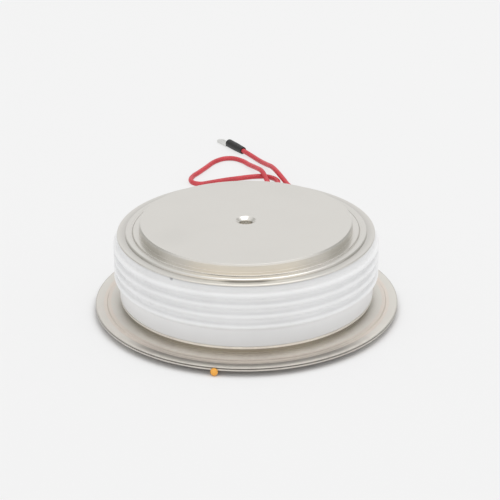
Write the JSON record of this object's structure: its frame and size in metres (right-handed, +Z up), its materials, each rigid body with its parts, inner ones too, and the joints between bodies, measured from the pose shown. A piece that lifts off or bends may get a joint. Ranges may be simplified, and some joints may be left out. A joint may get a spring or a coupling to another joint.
{
  "type": "disc thyristor",
  "caption": "Flat press-pack disc thyristor: ribbed white ceramic wall between plated pole faces, with a wide welded rim, a gate tube and flexible control leads.",
  "frame": {"origin": "centre of the cathode contact face, which the capsule stands on", "axes": "+Z up the capsule's axis to the anode face, +Y towards the gate tube and the leads"},
  "size_m": [0.084, 0.1723, 0.0258],
  "materials": {
    "white_ceramic": "fired white alumina, thin glaze",
    "plated_copper": "lapped satin nickel plating on copper",
    "nickel_sheet": "pressed nickel-plated sheet, satin",
    "silicon": "polished silicon",
    "molybdenum": "lapped molybdenum",
    "silver": "soft silver",
    "seal_rubber": "cast silicone rubber",
    "white_plastic": "turned fluoropolymer",
    "spring_steel": "drawn wire",
    "bare_copper": "bright drawn copper",
    "red_insulation": "smooth soft insulation",
    "black_sleeve": "shrunk sleeve",
    "tinned_metal": "bright tin on brass"
  },
  "bodies": {
    "root": {"ceramic_ring": "white_ceramic", "anode_pole": "plated_copper", "anode_flange": "nickel_sheet", "cathode_pole": "plated_copper", "cover_flange": "nickel_sheet", "weld_flange": "nickel_sheet", "gate_tube": "nickel_sheet", "cathode_tag": "nickel_sheet", "silicon_wafer": "silicon", "anode_disc": "molybdenum", "cathode_washer": "molybdenum", "anode_foil": "silver", "wafer_seal": "seal_rubber", "centring_ring": "white_plastic", "gate_cup": "white_plastic", "gate_spring": "spring_steel", "gate_pin": "silver", "gate_bush": "white_plastic", "gate_wire": "bare_copper", "gate_wire_sleeve": "white_plastic", "gate_lead": "red_insulation", "gate_lead_terminal": "tinned_metal", "cathode_lead": "red_insulation", "cathode_lead_sleeve": "black_sleeve", "cathode_lead_terminal": "tinned_metal"}
  },
  "joints": []
}
